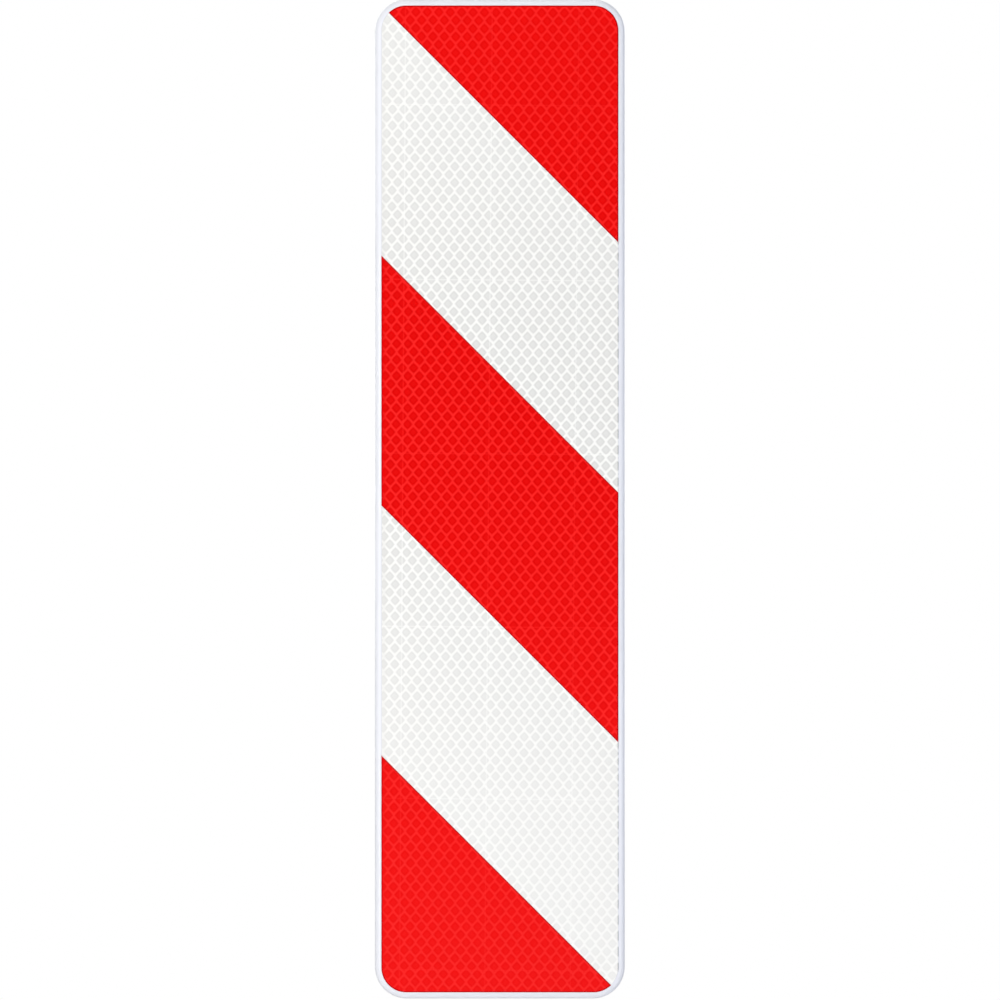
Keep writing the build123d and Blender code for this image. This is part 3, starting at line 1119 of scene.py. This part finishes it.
    def nut(self) -> bpy.types.Mesh:
        """The lock nut: a section that goes up the outside and down the bore, turned round the axis.

        Outside, the radius is the lesser of the hexagon's, flat radius over cos(angle from the flat's
        middle), and a 30 degree cone at each end, which leaves the curved chamfers. The collar above is
        rolled inwards.

        Returns:
            The nut's mesh.
        """
        low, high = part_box(self.node("nut"))
        flat = (high.z - low.z) / 2
        sixth, slope = math.tau / 6, math.sqrt(3)
        angles = around(self.nut_steps)
        hexagon = flat / np.cos(angles % sixth - sixth / 2)
        shoulder, bend = low.y + self.hexagon_height, self.collar - self.lip
        rise = np.linspace(0, self.chamfer_height, self.chamfer_rows)
        front, back = (np.minimum(hexagon, flat - inset + slope * rise[:, None]) for inset in self.chamfer_in)
        rows = [(low.y + self.countersink, self.bore), (low.y, self.bore + self.countersink)]
        rows += list(zip(low.y + rise, front)) + list(zip(shoulder - rise[::-1], back[::-1]))
        rows += [(shoulder + up, self.collar + flare) for up, flare in self.collar_foot]
        rows += [(high.y - bend + bend * math.sin(a), self.collar - bend * (1 - math.cos(a)))
                 for a in arc(0, self.collar_roll, self.roll_steps)]
        rows += [(high.y - down, self.lip + flare) for down, flare in self.lip_rows]
        rows += [(shoulder - down, wide) for down, wide in zip(self.seat_depth, (self.lip, self.bore))]
        radius = np.vstack([np.broadcast_to(r, angles.shape) for _, r in rows])
        depth = np.array([[y] for y, _ in rows])
        points = turned(radius, depth, angles, self.axis())
        return skin(self.name("lock_nut"), points, Ends.JOINED, self.nut_crease)

    def insert(self) -> bpy.types.Mesh:
        """The nylon ring under the collar's lip."""
        low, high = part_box(self.node("nut"))
        foot, top = low.y + self.hexagon_height - self.insert_sunk, high.y - self.insert_below
        return self.ring("nut_insert", self.bore, self.lip - self.insert_gap, foot, top, self.insert_rounds)

    def build(self) -> None:
        """Build and dress the bolt, washer, nut and its insert."""
        body = self.called("clip")
        for mesh, kind in ((self.bolt(), "bolt"), (self.washer(), "washer"), (self.nut(), "nut")):
            place_piece(mesh, self.steel, body, "stainless_steel", self.node(kind))
        place_piece(self.insert(), self.nylon, body, None)


@dataclass(frozen=True)
class Softbox:
    """A studio softbox: a rectangle of even light, aimed at the beacon."""

    name: str
    place: tuple[float, float, float]
    size: tuple[float, float]
    watts: float
    tint: str

    def build(self, aim: Vector) -> None:
        """Hang the light and turn it to the aim."""
        light = bpy.data.lights.new(self.name, "AREA")
        light.shape = "RECTANGLE"
        light.size, light.size_y = self.size
        light.energy = self.watts
        light.color = linear(self.tint)[:3]
        lamp = hang(self.name, light)
        lamp.location = aim + Vector(self.place)
        lamp.rotation_euler = (-Vector(self.place)).to_track_quat("-Z", "Y").to_euler()
        lamp.visible_camera = False


@dataclass
class Studio:
    """A pale floor, softboxes all round, and a long-lens camera square to the face."""

    floor_tone: str = "#EDEDED"
    floor_drop: float = 0.26
    floor_rings: tuple[float, float, float] = (0.01, 0.25, 4.0)
    floor_rows: int = 16
    floor_steps: int = 96
    floor_fade: tuple[float, float] = (0.4, 2.0)
    camera_away: float = 8.0
    view_width: float = 1.00025
    view_shift: tuple[float, float] = (0.15 * MM, -1.05 * MM)
    sensor: float = 36.0
    air: str = "#EFF1F6"
    air_strength: float = 0.411
    curtain_deg: tuple[float, float] = (20.0, 40.0)
    screen: str = "#FFFFFF"
    backdrop: str = "#D9DCE1"
    screen_deg: tuple[float, float] = (7.0, 16.0)
    lights: tuple[Softbox, ...] = (
        Softbox("left_key", (-1.3, -2.7, 0.1), (0.6, 2.0), 40.1, "#FFFEFC"),
        Softbox("left_fill", (-2.3, -2.3, 0.3), (1.2, 1.8), 3.8, "#FFFDFA"),
        Softbox("top_key", (-0.2, -1.7, 2.1), (2.0, 1.4), 13.0, "#FDFDFF"),
        Softbox("low_left", (-1.05, -2.3, -0.48), (1.0, 0.4), 1.8, "#FBFBFF"),
        Softbox("low_right", (1.05, -2.2, -0.48), (1.0, 0.4), 8.1, "#E6EDFF"),
        Softbox("right_edge", (2.8, -0.6, 0.1), (0.8, 2.0), 8.8, "#DCE6FF"),
        Softbox("back_left", (-1.2, 3.2, 0.9), (1.8, 2.2), 45.0, "#FFFDF9"),
        Softbox("back_right", (1.5, 3.0, 0.6), (1.8, 2.2), 22.0, "#F6F8FF"),
        Softbox("overhead", (0.0, 0.9, 2.6), (2.2, 2.2), 13.0, "#FFFFFF"),
    )

    def floor(self, ground: float) -> None:
        """A round floor on a polar grid, matte near the beacon, giving way to the backdrop, in no mirror.

        Args:
            ground: the floor's height.
        """
        hub, inner, outer = self.floor_rings
        radius = np.concatenate([[hub], np.linspace(inner, outer, self.floor_rows)])[:, None, None]
        disc = radius * spokes(around(self.floor_steps))
        points = np.concatenate([disc, np.full_like(disc[..., :1], ground)], -1)
        index = np.arange(disc[..., 0].size).reshape(disc.shape[:2])
        quads = np.stack([index[:-1], index[1:], np.roll(index[1:], -1, 1), np.roll(index[:-1], -1, 1)], -1)
        faces = quads.reshape(-1, 4).tolist() + [index[0].tolist()]
        mesh = bpy.data.meshes.new("floor")
        mesh.from_pydata(points.reshape(-1, 3).tolist(), [], faces)
        paint = bpy.data.materials.new("pale_floor")
        tree = emptied(paint)
        place = add_node(tree, "ShaderNodeTexCoord", out="Object")
        flat = add_node(tree, "ShaderNodeVectorMath", {0: place, 1: (1.0, 1.0, 0.0)}, operation="MULTIPLY")
        away = add_node(tree, "ShaderNodeVectorMath", {0: flat}, "Value", operation="LENGTH")
        fade = add_node(tree, "ShaderNodeMapRange", {
            "Value": away, "From Min": self.floor_fade[0], "From Max": self.floor_fade[1]},
            interpolation_type="SMOOTHSTEP")
        seen = add_node(tree, "ShaderNodeLightPath", out="Is Camera Ray")
        gone = add_node(tree, "ShaderNodeMath", {0: fade, 1: seen}, operation="MULTIPLY")
        matte = add_node(tree, "ShaderNodeBsdfDiffuse", {"Color": linear(self.floor_tone)})
        clear = add_node(tree, "ShaderNodeBsdfTransparent")
        both = add_node(tree, "ShaderNodeMixShader", {0: gone, 1: matte, 2: clear})
        add_node(tree, "ShaderNodeOutputMaterial", {"Surface": both})
        mesh.materials.append(paint)
        floor = hang("floor", mesh)
        floor.visible_glossy = False

    def world(self) -> None:
        """A backdrop, white behind the beacon and pale grey elsewhere, and a dimmer light from the air.

        The backdrop goes from white to grey as a direction's angle to the face's rear grows from the screen's
        inner angle to its outer one. A dark curtain round the camera keeps glare off the face: the light from
        a direction fades out as its angle to the camera's side falls from the curtain's outer angle to its
        inner one.
        """
        world = bpy.data.worlds.new("studio_air")
        tree = emptied(world)
        seen = add_node(tree, "ShaderNodeLightPath", out="Is Camera Ray")
        way = add_node(tree, "ShaderNodeTexCoord", out="Generated")
        front = add_node(tree, "ShaderNodeVectorMath", {0: way, 1: (0.0, -1.0, 0.0)}, "Value",
                         operation="DOT_PRODUCT")
        inner, outer = (math.cos(math.radians(angle)) for angle in self.curtain_deg)
        full, none = (-math.cos(math.radians(angle)) for angle in self.screen_deg)
        strength = add_node(tree, "ShaderNodeMapRange", {
            "Value": front, "From Min": outer, "From Max": inner, "To Min": self.air_strength, "To Max": 0.0},
            interpolation_type="SMOOTHSTEP")
        light = add_node(tree, "ShaderNodeBackground", {"Color": linear(self.air), "Strength": strength})
        grey = add_node(tree, "ShaderNodeMapRange", {"Value": front, "From Min": full, "From Max": none},
                        interpolation_type="SMOOTHSTEP")
        colour = add_node(tree, "ShaderNodeMix", {
            0: grey, MIX_FROM: linear(self.screen), MIX_TO: linear(self.backdrop)}, MIX_OUT, data_type="RGBA")
        behind = add_node(tree, "ShaderNodeBackground", {"Color": colour, "Strength": 1.0})
        both = add_node(tree, "ShaderNodeMixShader", {0: seen, 1: light, 2: behind})
        add_node(tree, "ShaderNodeOutputWorld", {"Surface": both})
        bpy.context.scene.world = world

    def camera(self, face: float, centre: Vector) -> None:
        """A camera in front of the face whose frame is as wide there as the photograph's.

        Args:
            face: Y of the face.
            centre: the middle of the panel.
        """
        lens = bpy.data.cameras.new("camera")
        lens.sensor_width = self.sensor
        lens.lens = self.sensor * self.camera_away / self.view_width
        camera = hang("camera", lens)
        right, up = self.view_shift
        camera.location = (centre.x + right, face - self.camera_away, centre.z + up)
        camera.rotation_euler = (math.pi / 2, 0, 0)
        bpy.context.scene.camera = camera

    def build(self) -> None:
        """Set the floor, air, lights and camera round the panel, with plain display colours."""
        low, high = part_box("panel_tray")
        centre = (low + high) / 2
        self.floor(low.z - self.floor_drop)
        self.world()
        for light in self.lights:
            light.build(centre)
        self.camera(low.y, centre)
        bpy.context.scene.view_settings.view_transform = "Standard"


def main() -> None:
    """Build the panel, rails, straps and fixings in order, then the studio."""
    logging.basicConfig(level=logging.INFO, format="%(name)s: %(message)s")
    Panel().build()
    for level in Level:
        Rail(level).build()
        Strap(level).build()
        for side in Side:
            Fixing(level, side).build()
    Studio().build()


if __name__ == "__main__":
    main()
